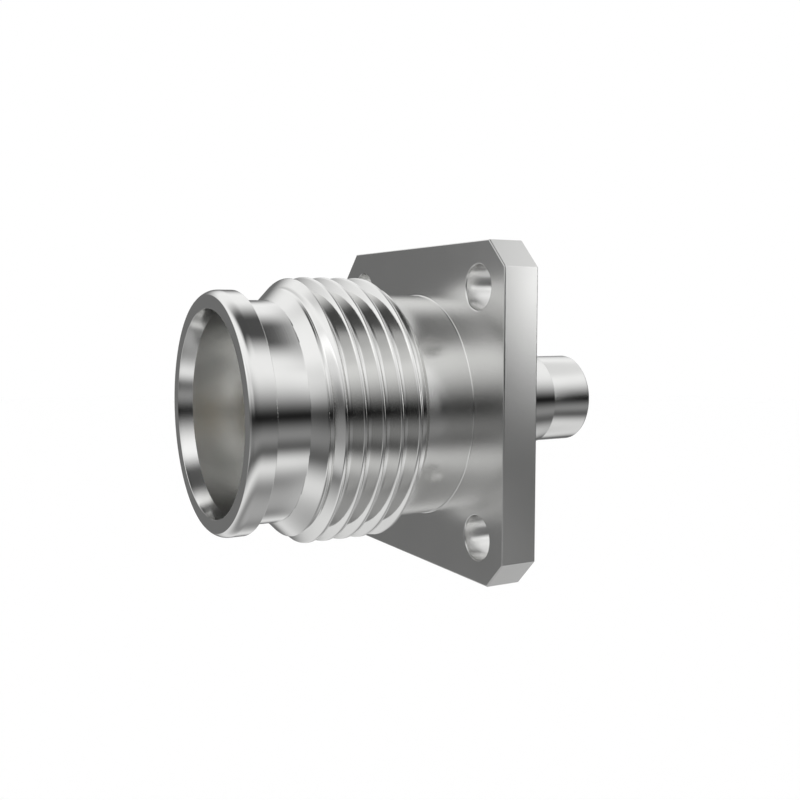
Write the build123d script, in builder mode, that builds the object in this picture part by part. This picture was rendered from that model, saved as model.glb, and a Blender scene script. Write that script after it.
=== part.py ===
from build123d import *
import math
import os

# A panel-mount coaxial jack for semi-rigid cable. The axis of the jack is the Y axis:
# the mouth faces -Y and the cable leaves towards +Y. +Z is up. The origin is on the
# axis, in the rear face of the square flange, which seats on the panel.
# All sizes are in millimetres.

# Square flange
flange_width = 17.5
flange_thickness = 2.0
flange_corner_cut = 1.38
screw_edge_distance = 2.35
screw_hole_dia = 2.3

# Outside of the threaded collar
mouth_reach = 12.05
barrel_dia = 12.2
groove_dia = 11.56
groove_length = 1.83
lip_dia = 12.59
lip_length = 1.3
nose_length = 0.55
nose_drop = 0.26

# Coupling thread, right-handed
thread_dia = 14.0
thread_pitch = 1.0
thread_depth = 0.61
thread_crest_width = 0.125
thread_flank_angle = 60.0
thread_crest_length = 4.2
thread_shoulder_angle = 45.0
thread_start_offset = 0.45
thread_cutter_rise = 0.05

# Inside of the collar
mouth_dia = 10.72
mouth_bore_dia = 10.3
lead_in_length = 0.78
mouth_depth = 6.4

# Rear hub
hub_reach = 5.9
hub_wall = 0.39
hub_taper_angle = 10.0

# Outer contact sleeve, pressed in behind the mouth
sleeve_dia = 8.4
sleeve_length = 4.2
spring_bore_dia = 6.5
spring_bore_depth = 3.0
line_dia = 5.0

# Centre contact
contact_dia = 2.2
contact_recess = 0.7
pin_bore_dia = 1.12
pin_bore_depth = 2.4
contact_slot_width = 0.18
contact_slot_depth = 2.1
neck_dia = 1.7
collar_length = 0.6
tail_dia = 1.5
tail_overhang = 0.6
core_bore_dia = 0.96
core_bore_depth = 2.4

# Insulators
bead_dia = 5.6
bead_thickness = 2.0
bead_slit_width = 0.3
rear_insulator_thickness = 2.4

# Cable ferrule
ferrule_spigot_dia = 4.4
ferrule_shoulder = 0.335
ferrule_overhang = 2.6
cable_dia = 3.58
dielectric_dia = 3.0
cable_stop_length = 1.0

# Radial clearances
press_play = 0.01
slide_play = 0.02
cable_play = 0.035

# Screw holes, square with the flange
screw_spacing = flange_width - 2 * screw_edge_distance

# Radii
mouth_r = mouth_dia / 2
mouth_bore_r = mouth_bore_dia / 2
lip_r = lip_dia / 2
nose_tip_r = lip_r - nose_drop
groove_r = groove_dia / 2
thread_r = thread_dia / 2
barrel_r = barrel_dia / 2
screw_hole_r = screw_hole_dia / 2
web_r = (barrel_r + flange_width / 2) / 2
sleeve_r = sleeve_dia / 2
spring_bore_r = spring_bore_dia / 2
line_r = line_dia / 2
contact_r = contact_dia / 2
pin_bore_r = pin_bore_dia / 2
neck_r = neck_dia / 2
tail_r = tail_dia / 2
core_bore_r = core_bore_dia / 2
bead_r = bead_dia / 2
spigot_r = ferrule_spigot_dia / 2
ferrule_r = spigot_r + ferrule_shoulder
cable_bore_r = cable_dia / 2 + cable_play
dielectric_bore_r = dielectric_dia / 2 + cable_play
hub_end_r = spigot_r + press_play + hub_wall
hub_root_r = hub_end_r + hub_reach * math.tan(math.radians(hub_taper_angle))

# Stations along the axis, outside
flange_front_y = -flange_thickness
mouth_y = flange_front_y - mouth_reach
nose_y = mouth_y + nose_length
lip_rear_y = mouth_y + lip_length
groove_rear_y = lip_rear_y + groove_length
shoulder_slope = math.tan(math.radians(thread_shoulder_angle))
crest_front_y = groove_rear_y + (thread_r - groove_r) / shoulder_slope
crest_rear_y = crest_front_y + thread_crest_length
barrel_front_y = crest_rear_y + (thread_r - barrel_r) / shoulder_slope

# Stations along the axis, inside
lead_in_y = mouth_y + lead_in_length
mouth_floor_y = mouth_y + mouth_depth
bead_front_y = mouth_floor_y + sleeve_length
bead_rear_y = bead_front_y + bead_thickness
collar_rear_y = bead_rear_y + collar_length
ferrule_seat_y = collar_rear_y + rear_insulator_thickness
cable_stop_y = ferrule_seat_y + cable_stop_length
ferrule_end_y = hub_reach + ferrule_overhang
contact_tip_y = mouth_floor_y + contact_recess
tail_end_y = ferrule_seat_y + tail_overhang

os.makedirs("parts", exist_ok=True)


def thread_turn(start_y):
    """One turn of the helical cutter for the coupling thread, starting at the top."""
    flank_slope = math.tan(math.radians(thread_flank_angle / 2))
    crest_gap = (thread_pitch - thread_crest_width) / 2
    root_half = crest_gap - thread_depth * flank_slope
    top_half = crest_gap + thread_cutter_rise * flank_slope
    root_r = thread_r - thread_depth
    rise_r = thread_r + thread_cutter_rise
    clear_r = thread_r + thread_depth
    with BuildPart() as cutter:
        with BuildLine() as path:
            Helix(thread_pitch, thread_pitch, thread_r, center=(0, start_y, 0), direction=(0, 1, 0))
        with BuildSketch(Plane(origin=(0, start_y, 0), x_dir=(0, 0, 1), z_dir=(-1, 0, 0))):
            with BuildLine():
                Polyline(
                    (clear_r, -top_half),
                    (clear_r, top_half),
                    (rise_r, top_half),
                    (root_r, root_half),
                    (root_r, -root_half),
                    (rise_r, -top_half),
                    close=True,
                )
            make_face()
        sweep(path=path.line, is_frenet=True)
    return cutter.part


# Housing: turned from one bar, with the flange milled square and the thread cut last
with BuildPart() as housing:
    with BuildSketch(Plane.XY):
        with BuildLine():
            TangentArc((lip_r, nose_y), (nose_tip_r, mouth_y), tangent=(0, -1))
            Polyline(
                (lip_r, nose_y),
                (lip_r, lip_rear_y),
                (groove_r, lip_rear_y),
                (groove_r, groove_rear_y),
                (thread_r, crest_front_y),
                (thread_r, crest_rear_y),
                (barrel_r, barrel_front_y),
                (barrel_r, flange_front_y),
                (web_r, flange_front_y),
                (web_r, 0),
                (hub_root_r, 0),
                (hub_end_r, hub_reach),
                (spigot_r + press_play, hub_reach),
                (spigot_r + press_play, bead_rear_y),
                (bead_r + slide_play, bead_rear_y),
                (bead_r + slide_play, bead_front_y),
                (sleeve_r + press_play, bead_front_y),
                (sleeve_r + press_play, mouth_floor_y),
                (mouth_bore_r, mouth_floor_y),
                (mouth_bore_r, lead_in_y),
                (mouth_r, mouth_y),
                (nose_tip_r, mouth_y),
            )
        make_face()
    revolve(axis=Axis.Y)
    with BuildSketch(Plane.XZ):
        Rectangle(flange_width, flange_width)
        chamfer(vertices(), length=flange_corner_cut)
        Circle((barrel_r + web_r) / 2, mode=Mode.SUBTRACT)
    extrude(amount=flange_thickness)
    with BuildSketch(Plane.XZ):
        with GridLocations(screw_spacing, screw_spacing, 2, 2):
            Circle(screw_hole_r)
    extrude(amount=flange_thickness, mode=Mode.SUBTRACT)
    thread_start_y = groove_rear_y - thread_start_offset
    turn_count = math.ceil((barrel_front_y + thread_pitch - thread_start_y) / thread_pitch)
    for turn in range(turn_count):
        add(thread_turn(thread_start_y + turn * thread_pitch), mode=Mode.SUBTRACT)
housing.part.label = "housing"
export_step(housing.part, "parts/housing.step")

# Outer contact sleeve: a turned tube whose front bore takes the mating spring basket
with BuildPart() as outer_contact_sleeve:
    spring_floor_y = mouth_floor_y + spring_bore_depth
    with BuildSketch(Plane.XY):
        with BuildLine():
            Polyline(
                (spring_bore_r, mouth_floor_y),
                (sleeve_r, mouth_floor_y),
                (sleeve_r, bead_front_y),
                (line_r, bead_front_y),
                (line_r, spring_floor_y),
                (spring_bore_r, spring_floor_y),
                close=True,
            )
        make_face()
    revolve(axis=Axis.Y)
outer_contact_sleeve.part.label = "outer_contact_sleeve"
export_step(outer_contact_sleeve.part, "parts/outer_contact_sleeve.step")

# Centre contact: a slotted socket in front, a neck for the bead, and a solder cup behind
with BuildPart() as centre_contact:
    with BuildSketch(Plane.XY):
        with BuildLine():
            Polyline(
                (pin_bore_r, contact_tip_y),
                (contact_r, contact_tip_y),
                (contact_r, bead_front_y),
                (neck_r, bead_front_y),
                (neck_r, bead_rear_y),
                (contact_r, bead_rear_y),
                (contact_r, collar_rear_y),
                (tail_r, collar_rear_y),
                (tail_r, tail_end_y),
                (core_bore_r, tail_end_y),
                (core_bore_r, tail_end_y - core_bore_depth),
                (0, tail_end_y - core_bore_depth),
                (0, contact_tip_y + pin_bore_depth),
                (pin_bore_r, contact_tip_y + pin_bore_depth),
                close=True,
            )
        make_face()
    revolve(axis=Axis.Y)
    with BuildSketch(Plane.XZ.offset(-contact_tip_y)):
        Rectangle(contact_dia, contact_slot_width)
        Rectangle(contact_slot_width, contact_dia)
    extrude(amount=-contact_slot_depth, mode=Mode.SUBTRACT)
centre_contact.part.label = "centre_contact"
export_step(centre_contact.part, "parts/centre_contact.step")

# Front insulator: a bead slit on one side, so that it snaps over the contact's neck
with BuildPart() as front_insulator:
    with BuildSketch(Plane.XZ.offset(-bead_front_y)):
        Circle(bead_r)
        Circle(neck_r + slide_play, mode=Mode.SUBTRACT)
        Rectangle(bead_slit_width, bead_r, align=(Align.CENTER, Align.MIN), mode=Mode.SUBTRACT)
    extrude(amount=-bead_thickness)
front_insulator.part.label = "front_insulator"
export_step(front_insulator.part, "parts/front_insulator.step")

# Rear insulator: a washer in the hub's bore, between the contact's collar and the ferrule
with BuildPart() as rear_insulator:
    with BuildSketch(Plane.XZ.offset(-collar_rear_y)):
        Circle(spigot_r)
        Circle(tail_r + slide_play, mode=Mode.SUBTRACT)
    extrude(amount=-rear_insulator_thickness)
rear_insulator.part.label = "rear_insulator"
export_step(rear_insulator.part, "parts/rear_insulator.step")

# Cable ferrule: a turned sleeve with a spigot pressed into the hub, up to a shoulder on the
# hub's end. It is soldered to the outside of the cable.
with BuildPart() as cable_ferrule:
    with BuildSketch(Plane.XY):
        with BuildLine():
            Polyline(
                (dielectric_bore_r, ferrule_seat_y),
                (spigot_r, ferrule_seat_y),
                (spigot_r, hub_reach),
                (ferrule_r, hub_reach),
                (ferrule_r, ferrule_end_y),
                (cable_bore_r, ferrule_end_y),
                (cable_bore_r, cable_stop_y),
                (dielectric_bore_r, cable_stop_y),
                close=True,
            )
        make_face()
    revolve(axis=Axis.Y)
cable_ferrule.part.label = "cable_ferrule"
export_step(cable_ferrule.part, "parts/cable_ferrule.step")
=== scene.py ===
import math

import bmesh
import bpy
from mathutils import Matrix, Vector


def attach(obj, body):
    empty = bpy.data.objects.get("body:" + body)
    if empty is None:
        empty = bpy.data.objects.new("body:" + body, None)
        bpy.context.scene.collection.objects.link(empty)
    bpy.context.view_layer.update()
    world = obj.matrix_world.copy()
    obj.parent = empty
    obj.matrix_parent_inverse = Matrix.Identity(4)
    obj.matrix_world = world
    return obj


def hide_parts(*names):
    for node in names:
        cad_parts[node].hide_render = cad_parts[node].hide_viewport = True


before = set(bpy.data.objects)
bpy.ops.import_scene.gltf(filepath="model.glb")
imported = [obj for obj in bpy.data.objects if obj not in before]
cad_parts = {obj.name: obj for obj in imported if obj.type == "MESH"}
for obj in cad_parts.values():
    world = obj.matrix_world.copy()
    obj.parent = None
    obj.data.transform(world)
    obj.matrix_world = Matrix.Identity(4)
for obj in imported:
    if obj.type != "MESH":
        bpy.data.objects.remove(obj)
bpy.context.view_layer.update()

# Camera: 29 degrees off square to the jack's side, turned towards its mouth, looking
# 5 degrees down from 57 mm away, as the photograph was taken.
mm = 0.001
camera_place = Vector((48.59, -29.65, 4.99)) * mm
camera_yaw = math.radians(28.78)
camera_dip = math.radians(4.86)
camera_lens = 44.7
camera_sensor = 36
nearest_seen = 1 * mm
farthest_seen = 3.0
camera = bpy.data.objects.new("camera", bpy.data.cameras.new("camera"))
bpy.context.scene.collection.objects.link(camera)
camera_aim = Vector((
    -math.cos(camera_yaw) * math.cos(camera_dip),
    math.sin(camera_yaw) * math.cos(camera_dip),
    -math.sin(camera_dip),
))
camera.location = camera_place
camera.rotation_euler = camera_aim.to_track_quat("-Z", "Y").to_euler()
camera.data.lens = camera_lens
camera.data.sensor_width = camera_sensor
camera.data.clip_start = nearest_seen
camera.data.clip_end = farthest_seen
bpy.context.scene.camera = camera

# Studio: a round light tent of soft level bands about the held part, which a turned metal
# part shows as light and dark bars along its length. The camera looks through its wall at
# a white room and a white round table well under the part.
bpy.context.scene.view_settings.view_transform = "Standard"
tent_radius = 60 * mm
tent_centre = Vector((0, -3, 0)) * mm
tent_rows = 64
studio_segments = 96
floor_drop = 70 * mm
floor_radius = 900 * mm

# The tent's light by height in degrees above the part: all round, on the side away from the
# camera, before the mouth and straight in front of it, in the dark opening along the roof,
# behind the part, and in the strip that lights the flange's side.
bands_below = [(-90, 0.44), (-65, 0.30), (-43, 0.88), (-28, 0.13), (-17, 0.28), (0, 0.01)]
bands_all_round = [*bands_below, (42, 1.05), (90, 1.05)]
bands_far_side = [
    (-90, 0.44), (-65, 0.30), (-43, 0.80), (-28, 0.18),
    (0, 0.18), (20, 0.17), (42, 1.05), (90, 1.05),
]
bands_before = [
    (-90, 0.60), (-43, 0.84), (-26, 0.13), (-15, 0.24),
    (-1, 0.02), (20, 0.85), (34, 1.10), (90, 1.10),
]
bands_facing = [(-90, 1.1), (-32, 1.1), (-13, 0.34), (-1, 0.12), (15, 0.9), (32, 2.1), (90, 2.1)]
bands_opening = [*bands_below, (39, 1.05), (54, 0.08), (90, 0.08)]
bands_behind = [
    (-90, 0.60), (-58, 0.48), (-43, 0.80), (-28, 0.13), (-17, 0.28), (0, 0.01),
    (36, 1.05), (46, 0.86), (60, 0.66), (90, 0.64),
]
bands_beside = [
    (-90, 0.60), (-58, 0.48), (-43, 0.70), (-28, 0.22),
    (-8, 0.08), (9, 2.2), (20, 1.2), (90, 0.80),
]
# Where along the tent, in millimetres, each of these takes over
far_side_reach = [(-40, 1), (-20, 0)]
before_reach = [(-50, 1), (-40, 0)]
facing_reach = [(-59, 1), (-54.5, 0)]
opening_width = [(-33, 0), (-4, 1), (14, 1), (37, 0)]
opening_length = [(-44, 0), (-30, 1)]
behind_reach = [(9.5, 0), (12.5, 1)]
beside_reach = [(27.5, 0), (29.5, 1), (35.5, 1), (37.5, 0)]


def node(tree, kind, **values):
    """A new node of a tree, with its properties set by name."""
    made = tree.nodes.new(kind)
    for name, value in values.items():
        setattr(made, name, value)
    return made


def staged(name, form, material):
    """A thing of the studio, no part of the object."""
    mesh = bpy.data.meshes.new(name)
    form.to_mesh(mesh)
    form.free()
    mesh.materials.append(material)
    thing = bpy.data.objects.new(name, mesh)
    bpy.context.scene.collection.objects.link(thing)
    return thing


room = bpy.data.worlds.new("white_room")
bpy.context.scene.world = room
room.use_nodes = True
room.node_tree.nodes["Background"].inputs["Color"].default_value = (1, 1, 1, 1)

glow = bpy.data.materials.new("tent_glow")
glow.use_nodes = True
tent = glow.node_tree
tent.nodes.clear()
tent_spot = node(tent, "ShaderNodeTexCoord")
tent_split = node(tent, "ShaderNodeSeparateXYZ")
tent.links.new(tent_spot.outputs["Object"], tent_split.inputs[0])
tent_span = {}
for axis in "XYZ":
    span = node(tent, "ShaderNodeMapRange")
    span.inputs["From Min"].default_value = -tent_radius
    span.inputs["From Max"].default_value = tent_radius
    tent.links.new(tent_split.outputs[axis], span.inputs["Value"])
    tent_span[axis] = span.outputs["Result"]


def eased(axis, stops):
    """A level that eases from stop to stop, each a place along an axis and the level there."""
    ramp = node(tent, "ShaderNodeValToRGB")
    ramp.color_ramp.interpolation = "EASE"
    marks = ramp.color_ramp.elements
    while len(marks) < len(stops):
        marks.new(1.0)
    for mark, (place, level) in zip(marks, stops):
        mark.position = (place / tent_radius + 1) / 2
        mark.color = (level, level, level, 1)
    tent.links.new(tent_span[axis], ramp.inputs["Fac"])
    return ramp.outputs["Color"]


def banded(bands):
    """The tent's light, in level bands by the height in degrees."""
    levels = [(tent_radius * math.sin(math.radians(height)), light) for height, light in bands]
    return eased("Z", levels)


def along_tent(axis, reach):
    """A share of 0 to 1 by the place along an axis, in millimetres."""
    return eased(axis, [(place * mm, share) for place, share in reach])


def blended(share, under, over):
    """One light laid over another by a share."""
    blend = node(tent, "ShaderNodeMix", data_type="RGBA")
    tent.links.new(share, blend.inputs["Factor"])
    tent.links.new(under, blend.inputs["A"])
    tent.links.new(over, blend.inputs["B"])
    return blend.outputs["Result"]


tent_colour = blended(along_tent("X", far_side_reach), banded(bands_all_round), banded(bands_far_side))
tent_colour = blended(along_tent("Y", before_reach), tent_colour, banded(bands_before))
tent_colour = blended(along_tent("Y", facing_reach), tent_colour, banded(bands_facing))
opening = node(tent, "ShaderNodeMath", operation="MULTIPLY")
tent.links.new(along_tent("X", opening_width), opening.inputs[0])
tent.links.new(along_tent("Y", opening_length), opening.inputs[1])
tent_colour = blended(opening.outputs[0], tent_colour, banded(bands_opening))
tent_colour = blended(along_tent("Y", behind_reach), tent_colour, banded(bands_behind))
tent_colour = blended(along_tent("Y", beside_reach), tent_colour, banded(bands_beside))
tent_light = node(tent, "ShaderNodeEmission")
tent_out = node(tent, "ShaderNodeOutputMaterial")
tent.links.new(tent_colour, tent_light.inputs["Color"])
tent.links.new(tent_light.outputs[0], tent_out.inputs["Surface"])
tent_form = bmesh.new()
bmesh.ops.create_uvsphere(tent_form, u_segments=studio_segments, v_segments=tent_rows, radius=tent_radius)
bmesh.ops.translate(tent_form, verts=tent_form.verts, vec=tent_centre)
light_tent = staged("light_tent", tent_form, glow)
light_tent.visible_camera = False
light_tent.visible_diffuse = False
light_tent.visible_shadow = False

floor_paint = bpy.data.materials.new("floor_white")
floor_paint.use_nodes = True
floor_shader = floor_paint.node_tree.nodes["Principled BSDF"]
floor_shader.inputs["Base Color"].default_value = (1, 1, 1, 1)
floor_shader.inputs["Roughness"].default_value = 1.0
floor_form = bmesh.new()
bmesh.ops.create_circle(floor_form, cap_ends=True, segments=studio_segments, radius=floor_radius)
bmesh.ops.translate(floor_form, verts=floor_form.verts, vec=(0, 0, -floor_drop))
staged("floor", floor_form, floor_paint)

# Housing: the threaded collar, the square flange and the rear hub are one piece of brass,
# turned from bar, drilled, milled square and given a silvery white-bronze plating. These
# are its turned outline, its flange and its thread, all in millimetres.
segments = 256
hole_segments = 96
bend_steps = 4
least_round = 0.01
merge_distance = 0.0001
flange_width = 17.5
flange_thickness = 2.0
flange_corner_cut = 1.38
flange_edge = 0.07
screw_edge_distance = 2.35
screw_hole_r = 1.15
screw_hole_edge = 0.08
mouth_reach = 12.05
lip_r = 6.295
lip_length = 1.3
nose_length = 0.55
nose_drop = 0.26
groove_r = 5.78
groove_length = 1.83
thread_r = 7.0
thread_crest_length = 4.2
barrel_r = 6.1
root_round = 0.06
mouth_r = 5.36
mouth_bore_r = 5.15
lead_in_length = 0.78
mouth_depth = 6.4
sleeve_seat_r = 4.21
sleeve_length = 4.2
bead_seat_r = 2.82
bead_thickness = 2.0
spigot_seat_r = 2.21
hub_reach = 5.9
hub_end_r = 2.6
hub_root_r = 3.64
hub_root_round = 0.3

# Stations along the axis. The thread's blank ends in a 45 degree cone at either end.
mouth_y = -flange_thickness - mouth_reach
nose_y = mouth_y + nose_length
lip_rear_y = mouth_y + lip_length
thread_front_y = lip_rear_y + groove_length
crest_front_y = thread_front_y + thread_r - groove_r
thread_rear_y = crest_front_y + thread_crest_length + thread_r - barrel_r
lead_in_y = mouth_y + lead_in_length
mouth_floor_y = mouth_y + mouth_depth
bead_front_y = mouth_floor_y + sleeve_length
bead_rear_y = bead_front_y + bead_thickness


def bent(corners, closed=True):
    """Points (r, y) along an outline of (r, y, round) corners, with an arc at each rounded one."""
    points = []
    for i, (r, y, radius) in enumerate(corners):
        end = not closed and i in (0, len(corners) - 1)
        if radius == 0 or end:
            points.append((r, y))
            continue
        here = Vector((r, y))
        back = (Vector(corners[i - 1][:2]) - here).normalized()
        on = (Vector(corners[(i + 1) % len(corners)][:2]) - here).normalized()
        half = back.angle(on) / 2
        centre = here + (back + on).normalized() * radius / math.sin(half)
        start = here + back * radius / math.tan(half) - centre
        stop = here + on * radius / math.tan(half) - centre
        first = math.atan2(start.y, start.x)
        swing = (math.atan2(stop.y, stop.x) - first + math.pi) % (2 * math.pi) - math.pi
        for step in range(bend_steps + 1):
            turn = first + swing * step / bend_steps
            points.append((centre.x + radius * math.cos(turn), centre.y + radius * math.sin(turn)))
    return points


def ring(form, r, y, count, x=0, z=0):
    """A ring of points about the jack's axis, or one beside it, from the top round towards +X."""
    turns = [2 * math.pi * k / count for k in range(count)]
    return [form.verts.new(Vector((x + r * math.sin(a), y, z + r * math.cos(a))) * mm) for a in turns]


def skin(form, first, second):
    """The faces between two closed rings of as many points."""
    for k in range(len(first)):
        after = (k + 1) % len(first)
        form.faces.new((first[k], first[after], second[after], second[k]))


def turned(form, points, count, closed=False):
    """The surface that an outline's points sweep about the axis. Returns its end rings."""
    rings = [ring(form, r, y, count) for r, y in points]
    for first, second in zip(rings, rings[1:]):
        skin(form, first, second)
    if closed:
        skin(form, rings[-1], rings[0])
    return rings[0], rings[-1]


def finished(name, form, material, node_name):
    """A finished piece from its form: closed, shaded evenly, and standing for its CAD node.
    Broad faces keep their own direction, and the narrow rounds between them take up the turn."""
    bmesh.ops.remove_doubles(form, verts=form.verts, dist=merge_distance * mm)
    bmesh.ops.recalc_face_normals(form, faces=form.faces)
    flat = form.faces.layers.int.get("flat")
    directions = []
    for point in form.verts:
        total = Vector()
        for face in point.link_faces:
            weight = 1 if flat and face[flat] else face.calc_area() ** 2
            total += face.normal * weight
        directions.append(total.normalized())
    mesh = bpy.data.meshes.new(name)
    form.to_mesh(mesh)
    form.free()
    mesh.shade_smooth()
    mesh.normals_split_custom_set_from_vertices(directions)
    mesh.materials.append(material)
    piece = bpy.data.objects.new(name, mesh)
    bpy.context.scene.collection.objects.link(piece)
    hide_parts(node_name)
    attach(piece, "root")


# The thread is the blank's outline less a groove that climbs one pitch a turn. A node tree
# lays a net along the groove, so that its crests and roots fall on rows of the net.
thread_pitch = 1.0
thread_start_offset = 0.45
thread_start_y = thread_front_y - thread_start_offset
thread_depth = 0.61
thread_root_width = 0.17
thread_flank_angle = 60
thread_soft_edge = 0.05
rows_per_pitch = 32
thread_turns = 8
turns_ahead = 1

thread_tree = bpy.data.node_groups.new("coupling_thread", "GeometryNodeTree")
thread_inputs = {
    "Pitch": thread_pitch,
    "Start": thread_start_y,
    "Front": thread_front_y,
    "Rear": thread_rear_y,
    "Groove Radius": groove_r,
    "Crest Radius": thread_r,
    "Barrel Radius": barrel_r,
    "Root Radius": thread_r - thread_depth,
    "Half Root": thread_root_width / 2,
    "Flank Slope": 1 / math.tan(math.radians(thread_flank_angle / 2)),
    "Soft Edge": thread_soft_edge,
}
thread_socket = {}
for name in thread_inputs:
    thread_socket[name] = thread_tree.interface.new_socket(
        name, in_out="INPUT", socket_type="NodeSocketFloat").identifier
metal_socket = thread_tree.interface.new_socket(
    "Metal", in_out="INPUT", socket_type="NodeSocketMaterial").identifier
thread_tree.interface.new_socket("Thread", in_out="OUTPUT", socket_type="NodeSocketGeometry")
given = node(thread_tree, "NodeGroupInput")


def sum_up(tree, operation, *terms):
    """The output of a math node on up to three outputs or numbers."""
    made = node(tree, "ShaderNodeMath", operation=operation)
    for socket, term in zip(made.inputs, terms):
        if isinstance(term, (int, float)):
            socket.default_value = term
        else:
            tree.links.new(term, socket)
    return made.outputs[0]


def sized(name):
    """The output of one of the thread's named sizes."""
    return given.outputs[name]


net = node(thread_tree, "GeometryNodeMeshGrid")
net.inputs["Size X"].default_value = 1
net.inputs["Size Y"].default_value = 1
net.inputs["Vertices X"].default_value = segments + 1
net.inputs["Vertices Y"].default_value = rows_per_pitch * thread_turns + 1
spot = node(thread_tree, "GeometryNodeInputPosition")
split = node(thread_tree, "ShaderNodeSeparateXYZ")
thread_tree.links.new(spot.outputs[0], split.inputs[0])
turn_share = sum_up(thread_tree, "ADD", split.outputs["X"], 0.5)
row_share = sum_up(thread_tree, "ADD", split.outputs["Y"], 0.5)
climb = sum_up(thread_tree, "MULTIPLY", turn_share, sized("Pitch"))
origin = sum_up(thread_tree, "ADD", climb, sized("Start"))
rows_on = sum_up(thread_tree, "MULTIPLY_ADD", row_share, thread_turns, -turns_ahead)
ahead = sum_up(thread_tree, "MULTIPLY_ADD", rows_on, sized("Pitch"), origin)
not_before = sum_up(thread_tree, "MAXIMUM", ahead, sized("Front"))
along = sum_up(thread_tree, "MINIMUM", not_before, sized("Rear"))
from_start = sum_up(thread_tree, "SUBTRACT", along, origin)
half_pitch = sum_up(thread_tree, "MULTIPLY", sized("Pitch"), 0.5)
minus_half = sum_up(thread_tree, "MULTIPLY", sized("Pitch"), -0.5)
across = sum_up(thread_tree, "WRAP", from_start, half_pitch, minus_half)
off_centre = sum_up(thread_tree, "ABSOLUTE", across)
off_root = sum_up(thread_tree, "SUBTRACT", off_centre, sized("Half Root"))
up_flank = sum_up(thread_tree, "MAXIMUM", off_root, 0.0)
groove = sum_up(thread_tree, "MULTIPLY_ADD", up_flank, sized("Flank Slope"), sized("Root Radius"))
from_front = sum_up(thread_tree, "SUBTRACT", along, sized("Front"))
to_rear = sum_up(thread_tree, "SUBTRACT", sized("Rear"), along)
front_cone = sum_up(thread_tree, "ADD", from_front, sized("Groove Radius"))
rear_cone = sum_up(thread_tree, "ADD", to_rear, sized("Barrel Radius"))
front_blank = sum_up(thread_tree, "SMOOTH_MIN", front_cone, sized("Crest Radius"), sized("Soft Edge"))
blank = sum_up(thread_tree, "SMOOTH_MIN", front_blank, rear_cone, sized("Soft Edge"))
radius = sum_up(thread_tree, "SMOOTH_MIN", blank, groove, sized("Soft Edge"))
turn = sum_up(thread_tree, "MULTIPLY", turn_share, 2 * math.pi)
place = node(thread_tree, "ShaderNodeCombineXYZ")
sideways = sum_up(thread_tree, "MULTIPLY", radius, sum_up(thread_tree, "SINE", turn))
upwards = sum_up(thread_tree, "MULTIPLY", radius, sum_up(thread_tree, "COSINE", turn))
thread_tree.links.new(sideways, place.inputs["X"])
thread_tree.links.new(along, place.inputs["Y"])
thread_tree.links.new(upwards, place.inputs["Z"])
to_metres = node(thread_tree, "ShaderNodeVectorMath", operation="SCALE")
to_metres.inputs["Scale"].default_value = mm
thread_tree.links.new(place.outputs[0], to_metres.inputs[0])
wrapped = node(thread_tree, "GeometryNodeSetPosition")
realized = node(thread_tree, "GeometryNodeRealizeInstances")
coated = node(thread_tree, "GeometryNodeSetMaterial")
thread_out = node(thread_tree, "NodeGroupOutput")
thread_tree.links.new(net.outputs["Mesh"], wrapped.inputs["Geometry"])
thread_tree.links.new(to_metres.outputs[0], wrapped.inputs["Position"])
thread_tree.links.new(wrapped.outputs[0], realized.inputs[0])
thread_tree.links.new(realized.outputs[0], coated.inputs["Geometry"])
thread_tree.links.new(given.outputs["Metal"], coated.inputs["Material"])
thread_tree.links.new(coated.outputs[0], thread_out.inputs[0])


zone_soft_edge = 0.06
cuts_per_mm = 30
cut_depth = 0.002
haze_per_mm = 0.5
haze_roughness = 0.04
haze_darkening = 0.06


def between(tree, value, low, high):
    """1 where a value lies between two bounds in millimetres and 0 elsewhere, with soft ends."""
    sides = []
    for bound, sign in ((low, 1), (high, -1)):
        step = node(tree, "ShaderNodeMapRange", interpolation_type="SMOOTHSTEP")
        step.inputs["From Min"].default_value = (bound - sign * zone_soft_edge) * mm
        step.inputs["From Max"].default_value = (bound + sign * zone_soft_edge) * mm
        tree.links.new(value, step.inputs["Value"])
        sides.append(step.outputs["Result"])
    return sum_up(tree, "MULTIPLY", *sides)


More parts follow.
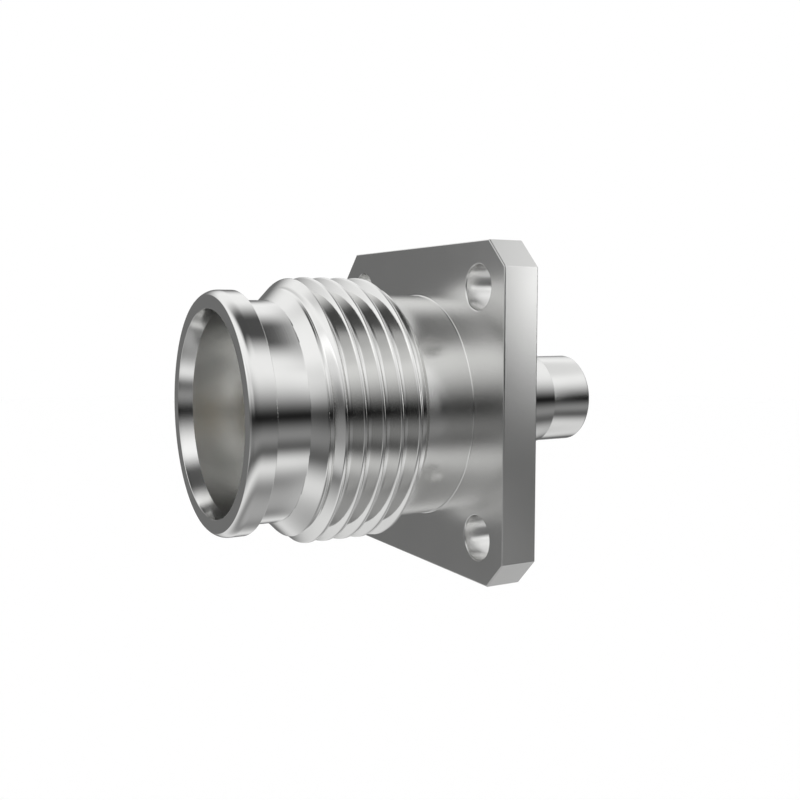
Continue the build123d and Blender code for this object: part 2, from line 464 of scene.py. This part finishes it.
def plated_metal(name, tint, roughness, marks, zones=()):
    """Plated metal with turning marks. A zone is a stretch along the axis, a stretch outwards
    from it, and the roughness and lightness that the surface has there instead."""
    metal = bpy.data.materials.new(name)
    metal.use_nodes = True
    tree = metal.node_tree
    shader = tree.nodes["Principled BSDF"]
    shader.inputs["Metallic"].default_value = 1.0
    spot = node(tree, "ShaderNodeTexCoord")
    split = node(tree, "ShaderNodeSeparateXYZ")
    tree.links.new(spot.outputs["Object"], split.inputs[0])
    x, y, z = (split.outputs[axis] for axis in "XYZ")
    x_squared = sum_up(tree, "MULTIPLY", x, x)
    z_squared = sum_up(tree, "MULTIPLY", z, z)
    out = sum_up(tree, "SQRT", sum_up(tree, "ADD", x_squared, z_squared))
    rings = node(tree, "ShaderNodeCombineXYZ")
    tree.links.new(out, rings.inputs["X"])
    tree.links.new(y, rings.inputs["Y"])
    cuts = node(tree, "ShaderNodeTexNoise", noise_dimensions="2D")
    cuts.inputs["Scale"].default_value = cuts_per_mm / mm
    cuts.inputs["Detail"].default_value = 3
    tree.links.new(rings.outputs[0], cuts.inputs["Vector"])
    haze = node(tree, "ShaderNodeTexNoise")
    haze.inputs["Scale"].default_value = haze_per_mm / mm
    haze.inputs["Detail"].default_value = 4
    tree.links.new(spot.outputs["Object"], haze.inputs["Vector"])
    least_rough = roughness - haze_roughness / 2
    rough = sum_up(tree, "MULTIPLY_ADD", haze.outputs["Fac"], haze_roughness, least_rough)
    light = sum_up(tree, "MULTIPLY_ADD", haze.outputs["Fac"], haze_darkening, 1 - haze_darkening)
    for y_from, y_to, out_from, out_to, other, lightness in zones:
        along = between(tree, y, y_from, y_to)
        outwards = between(tree, out, out_from, out_to)
        there = sum_up(tree, "MULTIPLY", along, outwards)
        rough = sum_up(tree, "MULTIPLY_ADD", there, other - roughness, rough)
        light = sum_up(tree, "MULTIPLY_ADD", there, lightness - 1, light)
    tree.links.new(rough, shader.inputs["Roughness"])
    shade = node(tree, "ShaderNodeVectorMath", operation="SCALE")
    shade.inputs[0].default_value = tint
    tree.links.new(light, shade.inputs["Scale"])
    tree.links.new(shade.outputs[0], shader.inputs["Base Color"])
    relief = node(tree, "ShaderNodeBump")
    relief.inputs["Strength"].default_value = marks
    relief.inputs["Distance"].default_value = cut_depth * mm
    tree.links.new(cuts.outputs["Fac"], relief.inputs["Height"])
    tree.links.new(relief.outputs[0], shader.inputs["Normal"])
    return metal


# The lip, groove, thread and hub are polished. The flange, the barrel and the mouth are left
# satin. The bore in the mouth is painted lighter, painted light where the lamps leave it dim,
# and the lead-in is a little lighter. Each zone is a stretch along the axis and one outwards
# from it, with room round its surface, a roughness and a lightness.
white_bronze = (0.80, 0.80, 0.79)
face_room = 0.03
front_skin_y = -flange_thickness - face_room
rear_skin_y = face_room
web_r = barrel_r + 0.1
flange_zone = (front_skin_y, rear_skin_y, web_r, flange_width, 0.25, 1)
rear_face_zone = (-0.5, rear_skin_y, hub_root_r + 0.26, web_r, 0.25, 1)
barrel_zone = (thread_rear_y - 0.05, front_skin_y, barrel_r - 0.2, barrel_r + 0.3, 0.22, 1)
lead_in_zone = (mouth_y + 0.05, lead_in_y, mouth_bore_r - 0.15, mouth_r - 0.02, 0.15, 1.12)
# The bore's lightness is painted light: a lighter colour stands in for light that hardly reaches inside
# the mouth.
bore_zone = (lead_in_y, mouth_floor_y, bead_seat_r, mouth_r + 0.04, 0.22, 1.24)
housing_zones = (flange_zone, rear_face_zone, barrel_zone, lead_in_zone, bore_zone)
housing_metal = plated_metal("plated_housing", white_bronze, 0.1, 0.15, housing_zones)

holder = bpy.data.objects.new("thread_net", bpy.data.meshes.new("thread_net"))
bpy.context.scene.collection.objects.link(holder)
winding = holder.modifiers.new("coupling_thread", "NODES")
winding.node_group = thread_tree
for name, value in thread_inputs.items():
    winding[thread_socket[name]] = value
winding[metal_socket] = housing_metal
wound = bpy.data.meshes.new_from_object(holder.evaluated_get(bpy.context.evaluated_depsgraph_get()))
bpy.data.objects.remove(holder)

housing_form = bmesh.new()
housing_form.from_mesh(wound)

nose_round = (nose_drop ** 2 + nose_length ** 2) / (2 * nose_drop)
nose_swing = math.asin(nose_length / nose_round)
nose_steps = 10
nose = []
for step in range(nose_steps):
    swing = nose_swing * step / nose_steps
    nose.append((lip_r - nose_round * (1 - math.cos(swing)), nose_y - nose_round * math.sin(swing), 0))

fine_edge = 0.04
inner_corner = 0.08
front_corners = [
    (groove_r, thread_front_y, 0),
    (groove_r, lip_rear_y, inner_corner),
    (lip_r, lip_rear_y, fine_edge),
    *nose,
    (lip_r - nose_drop, mouth_y, fine_edge),
    (mouth_r, mouth_y, fine_edge),
    (mouth_bore_r, lead_in_y, fine_edge),
    (mouth_bore_r, mouth_floor_y, inner_corner),
    (sleeve_seat_r, mouth_floor_y, fine_edge),
    (sleeve_seat_r, bead_front_y, inner_corner),
    (bead_seat_r, bead_front_y, fine_edge),
    (bead_seat_r, bead_rear_y, inner_corner),
    (spigot_seat_r, bead_rear_y, fine_edge),
    (spigot_seat_r, hub_reach, fine_edge),
    (hub_end_r, hub_reach, fine_edge),
    (hub_root_r, 0, hub_root_round),
    (barrel_r, 0, 0),
]
barrel_corners = [
    (barrel_r, thread_rear_y, 0),
    (barrel_r, -flange_thickness, root_round),
    (thread_r, -flange_thickness, 0),
]
front_points = bent(front_corners, closed=False)
barrel_points = bent(barrel_corners, closed=False)
rear_circle = turned(housing_form, front_points[:-1], segments)[1]
front_circle = turned(housing_form, barrel_points[:-1], segments)[1]


def flange_outline(form, inset, y):
    """The square's outline with its corners cut, drawn in by an inset, at a station."""
    half = flange_width / 2 - inset
    cut = flange_corner_cut - inset * (2 - math.sqrt(2))
    soft = max(flange_edge - inset, least_round)
    corners = []
    for x_side, z_side in ((1, 1), (1, -1), (-1, -1), (-1, 1)):
        on_level_edge = (x_side * (half - cut), z_side * half, soft)
        on_upright_edge = (x_side * half, z_side * (half - cut), soft)
        pair = [on_level_edge, on_upright_edge]
        corners += pair if x_side == z_side else pair[::-1]
    return [form.verts.new(Vector((x, y, z)) * mm) for x, z in bent(corners)]


edge_turns = [math.pi / 2 * step / bend_steps for step in range(bend_steps + 1)]


def plate_sections(edge):
    """Pairs of (inset, station) round a plate's rim, from its front face to its rear face."""
    front = []
    for a in edge_turns:
        front.append((edge * (1 - math.sin(a)), -flange_thickness + edge * (1 - math.cos(a))))
    rear = [(inset, -flange_thickness - y) for inset, y in front[::-1]]
    return front + rear


def loops_of(form, rings):
    """The edges along closed rings of points."""
    edges = []
    for points in rings:
        for k, point in enumerate(points):
            after = points[(k + 1) % len(points)]
            shared = [edge for edge in point.link_edges if edge.other_vert(point) is after]
            edges.append(shared[0] if shared else form.edges.new((point, after)))
    return edges


front_rings = [front_circle]
rear_rings = [rear_circle]
rim = [flange_outline(housing_form, inset, y) for inset, y in plate_sections(flange_edge)]
for first, second in zip(rim, rim[1:]):
    skin(housing_form, first, second)
front_rings.append(rim[0])
rear_rings.append(rim[-1])
screw_place = flange_width / 2 - screw_edge_distance
hole_sections = plate_sections(screw_hole_edge)
for x in (-screw_place, screw_place):
    for z in (-screw_place, screw_place):
        wall = []
        for inset, y in hole_sections:
            wall.append(ring(housing_form, screw_hole_r + inset, y, hole_segments, x, z))
        for first, second in zip(wall, wall[1:]):
            skin(housing_form, first, second)
        front_rings.append(wall[0])
        rear_rings.append(wall[-1])
flat_faces = housing_form.faces.layers.int.new("flat")
for rings in (front_rings, rear_rings):
    loops = loops_of(housing_form, rings)
    filled = bmesh.ops.triangle_fill(housing_form, use_beauty=True, edges=loops)
    for face in filled["geom"]:
        if isinstance(face, bmesh.types.BMFace):
            face[flat_faces] = 1

finished("housing", housing_form, housing_metal, "housing")

# Outer contact sleeve: a turned tube of plated brass, pressed into the collar behind the
# mouth. Its front bore takes the slotted outer contact of the mating plug.
press_play = 0.01
sleeve_r = sleeve_seat_r - press_play
spring_bore_r = 3.25
spring_bore_depth = 3.0
spring_floor_y = mouth_floor_y + spring_bore_depth
line_r = 2.5
# The sleeve's colour is painted lighter than the housing's plating, as painted light that brightens the
# inside of the mouth.
sleeve_plating_painted_lighter = (0.97, 0.97, 0.95)
sleeve_metal = plated_metal("plated_sleeve", sleeve_plating_painted_lighter, 0.45, 0.2)
sleeve_form = bmesh.new()
sleeve_corners = [
    (spring_bore_r, mouth_floor_y, fine_edge),
    (sleeve_r, mouth_floor_y, fine_edge),
    (sleeve_r, bead_front_y, fine_edge),
    (line_r, bead_front_y, fine_edge),
    (line_r, spring_floor_y, fine_edge),
    (spring_bore_r, spring_floor_y, inner_corner),
]
turned(sleeve_form, bent(sleeve_corners), segments, closed=True)
finished("outer_contact_sleeve", sleeve_form, sleeve_metal, "outer_contact_sleeve")

# Centre contact: turned spring copper alloy under gold plating. Four fingers in front grip
# the plug's pin, a neck carries the white bead, and a cup behind takes the cable's core.
contact_segments = 96
contact_r = 1.1
contact_recess = 0.7
pin_bore_r = 0.56
pin_bore_depth = 2.4
finger_length = 2.1
finger_slot = 0.18
finger_count = 4
finger_steps = 22
finger_close = 0.04
finger_inner_round = 0.16
finger_outer_round = 0.2
neck_r = 0.85
collar_length = 0.6
tail_r = 0.75
tail_length = 3.0
core_bore_r = 0.48
core_bore_depth = 2.4
contact_tip_y = mouth_floor_y + contact_recess
pin_bore_end_y = contact_tip_y + pin_bore_depth
finger_root_y = contact_tip_y + finger_length
collar_rear_y = bead_rear_y + collar_length
tail_end_y = collar_rear_y + tail_length
core_bore_y = tail_end_y - core_bore_depth
gold_plating = (0.93, 0.70, 0.32)
gilt = plated_metal("gilt_contact", gold_plating, 0.22, 0.3)
contact_form = bmesh.new()
contact_corners = [
    (0, pin_bore_end_y, 0),
    (pin_bore_r, pin_bore_end_y, fine_edge),
    (pin_bore_r, finger_root_y, 0),
    (contact_r, finger_root_y, 0),
    (contact_r, bead_front_y, fine_edge),
    (neck_r, bead_front_y, fine_edge),
    (neck_r, bead_rear_y, fine_edge),
    (contact_r, bead_rear_y, fine_edge),
    (contact_r, collar_rear_y, fine_edge),
    (tail_r, collar_rear_y, fine_edge),
    (tail_r, tail_end_y, fine_edge),
    (core_bore_r, tail_end_y, fine_edge),
    (core_bore_r, core_bore_y, fine_edge),
    (0, core_bore_y, 0),
]
turned(contact_form, bent(contact_corners, closed=False), contact_segments)
finger_corners = [
    (pin_bore_r, finger_root_y, 0),
    (pin_bore_r, contact_tip_y, finger_inner_round),
    (contact_r, contact_tip_y, finger_outer_round),
    (contact_r, finger_root_y, 0),
]


def swept_sector(form, points, gap, share, steps, lean=0):
    """A closed sector of a turned ring, its sides half a gap from planes through the axis. A
    lean draws it in towards the contact's tip."""
    rows = []
    for step in range(steps + 1):
        row = []
        for r, y in points:
            aside = math.asin(gap / 2 / r)
            turn = aside + (2 * math.pi * share - 2 * aside) * step / steps
            tip = (finger_root_y - y) / (finger_root_y - contact_tip_y)
            r_here = r - lean * max(tip, 0) ** 2
            corner = Vector((r_here * math.sin(turn), y, r_here * math.cos(turn)))
            row.append(form.verts.new(corner * mm))
        rows.append(row)
    for first, second in zip(rows, rows[1:]):
        skin(form, first, second)
    form.faces.new(rows[0])
    form.faces.new(rows[-1][::-1])


finger_tree = bpy.data.node_groups.new("contact_fingers", "GeometryNodeTree")
finger_tree.interface.new_socket("Finger", in_out="INPUT", socket_type="NodeSocketGeometry")
count_socket = finger_tree.interface.new_socket(
    "Count", in_out="INPUT", socket_type="NodeSocketInt").identifier
gilt_socket = finger_tree.interface.new_socket(
    "Metal", in_out="INPUT", socket_type="NodeSocketMaterial").identifier
finger_tree.interface.new_socket("Fingers", in_out="OUTPUT", socket_type="NodeSocketGeometry")
asked = node(finger_tree, "NodeGroupInput")
seats = node(finger_tree, "GeometryNodePoints")
copies = node(finger_tree, "GeometryNodeInstanceOnPoints")
order = node(finger_tree, "GeometryNodeInputIndex")
facing = node(finger_tree, "ShaderNodeCombineXYZ")
full_turn = sum_up(finger_tree, "DIVIDE", 2 * math.pi, asked.outputs["Count"])
own_turn = sum_up(finger_tree, "MULTIPLY", full_turn, order.outputs[0])
fingers_real = node(finger_tree, "GeometryNodeRealizeInstances")
fingers_gilt = node(finger_tree, "GeometryNodeSetMaterial")
fingers_out = node(finger_tree, "NodeGroupOutput")
finger_tree.links.new(asked.outputs["Count"], seats.inputs["Count"])
finger_tree.links.new(seats.outputs[0], copies.inputs["Points"])
finger_tree.links.new(asked.outputs["Finger"], copies.inputs["Instance"])
finger_tree.links.new(own_turn, facing.inputs["Y"])
finger_tree.links.new(facing.outputs[0], copies.inputs["Rotation"])
finger_tree.links.new(copies.outputs[0], fingers_real.inputs[0])
finger_tree.links.new(fingers_real.outputs[0], fingers_gilt.inputs["Geometry"])
finger_tree.links.new(asked.outputs["Metal"], fingers_gilt.inputs["Material"])
finger_tree.links.new(fingers_gilt.outputs[0], fingers_out.inputs[0])

finger_form = bmesh.new()
finger_outline = bent(finger_corners)
swept_sector(finger_form, finger_outline, finger_slot, 1 / finger_count, finger_steps, finger_close)
finger_mesh = bpy.data.meshes.new("finger")
finger_form.to_mesh(finger_mesh)
finger_form.free()
finger = bpy.data.objects.new("finger", finger_mesh)
bpy.context.scene.collection.objects.link(finger)
repeat = finger.modifiers.new("contact_fingers", "NODES")
repeat.node_group = finger_tree
repeat[count_socket] = finger_count
repeat[gilt_socket] = gilt
fingers = bpy.data.meshes.new_from_object(finger.evaluated_get(bpy.context.evaluated_depsgraph_get()))
bpy.data.objects.remove(finger)
contact_form.from_mesh(fingers)
finished("centre_contact", contact_form, gilt, "centre_contact")

# Front insulator: a turned bead of white fluoropolymer, slit at the top so that it snaps
# over the contact's neck.
slide_play = 0.02
bead_r = bead_seat_r - slide_play
bead_hole_r = neck_r + slide_play
bead_hole_edge = 0.02
bead_slit = 0.3
bead_steps = 120


def white_polymer(name):
    """Turned white fluoropolymer: waxy, a little translucent and faintly clouded."""
    polymer = bpy.data.materials.new(name)
    polymer.use_nodes = True
    tree = polymer.node_tree
    shader = tree.nodes["Principled BSDF"]
    shader.inputs["Roughness"].default_value = 0.45
    shader.inputs["Subsurface Weight"].default_value = 0.25
    shader.inputs["Subsurface Scale"].default_value = 0.4 * mm
    spot = node(tree, "ShaderNodeTexCoord")
    cloud = node(tree, "ShaderNodeTexNoise")
    cloud.inputs["Scale"].default_value = 1.5 / mm
    tree.links.new(spot.outputs["Object"], cloud.inputs["Vector"])
    shade = node(tree, "ShaderNodeMix", data_type="RGBA")
    shade.inputs["A"].default_value = (0.84, 0.84, 0.80, 1)
    shade.inputs["B"].default_value = (0.92, 0.92, 0.90, 1)
    tree.links.new(cloud.outputs["Fac"], shade.inputs["Factor"])
    tree.links.new(shade.outputs["Result"], shader.inputs["Base Color"])
    relief = node(tree, "ShaderNodeBump")
    relief.inputs["Strength"].default_value = 0.3
    relief.inputs["Distance"].default_value = 0.01 * mm
    tree.links.new(cloud.outputs["Fac"], relief.inputs["Height"])
    tree.links.new(relief.outputs[0], shader.inputs["Normal"])
    return polymer


bead_form = bmesh.new()
bead_corners = [
    (bead_hole_r, bead_front_y, bead_hole_edge),
    (bead_r, bead_front_y, fine_edge),
    (bead_r, bead_rear_y, fine_edge),
    (bead_hole_r, bead_rear_y, bead_hole_edge),
]
swept_sector(bead_form, bent(bead_corners), bead_slit, 1.0, bead_steps)
bead_polymer = white_polymer("bead_polymer")
finished("front_insulator", bead_form, bead_polymer, "front_insulator")

# Rear insulator: a turned washer of the same polymer between the contact's collar and the
# end of the cable, seen only down the empty ferrule.
washer_r = spigot_seat_r - press_play
washer_hole_r = tail_r + slide_play
washer_thickness = 2.4
ferrule_seat_y = collar_rear_y + washer_thickness
washer_form = bmesh.new()
washer_corners = [
    (washer_hole_r, collar_rear_y, fine_edge),
    (washer_r, collar_rear_y, fine_edge),
    (washer_r, ferrule_seat_y, fine_edge),
    (washer_hole_r, ferrule_seat_y, fine_edge),
]
turned(washer_form, bent(washer_corners), contact_segments, closed=True)
washer_polymer = white_polymer("washer_polymer")
finished("rear_insulator", washer_form, washer_polymer, "rear_insulator")

# Cable ferrule: a turned and plated brass sleeve with a spigot pressed into the hub, up to a
# shoulder on the hub's end. Semi-rigid cable is soldered into its bore.
cable_r = 1.79
dielectric_r = 1.5
cable_play = 0.035
cable_stop_length = 1.0
cable_entry = 0.2
ferrule_shoulder = 0.335
ferrule_overhang = 2.6
ferrule_end_edge = 0.12
spigot_r = spigot_seat_r - press_play
ferrule_r = spigot_r + ferrule_shoulder
cable_bore_r = cable_r + cable_play
dielectric_bore_r = dielectric_r + cable_play
ferrule_end_y = hub_reach + ferrule_overhang
cable_stop_y = ferrule_seat_y + cable_stop_length
ferrule_form = bmesh.new()
ferrule_corners = [
    (dielectric_bore_r, ferrule_seat_y, fine_edge),
    (spigot_r, ferrule_seat_y, fine_edge),
    (spigot_r, hub_reach, 0),
    (ferrule_r, hub_reach, fine_edge),
    (ferrule_r, ferrule_end_y, ferrule_end_edge),
    (cable_bore_r + cable_entry, ferrule_end_y, fine_edge),
    (cable_bore_r, ferrule_end_y - cable_entry, fine_edge),
    (cable_bore_r, cable_stop_y, inner_corner),
    (dielectric_bore_r, cable_stop_y, fine_edge),
]
turned(ferrule_form, bent(ferrule_corners), segments, closed=True)
ferrule_metal = plated_metal("plated_ferrule", white_bronze, 0.1, 0.15)
finished("cable_ferrule", ferrule_form, ferrule_metal, "cable_ferrule")
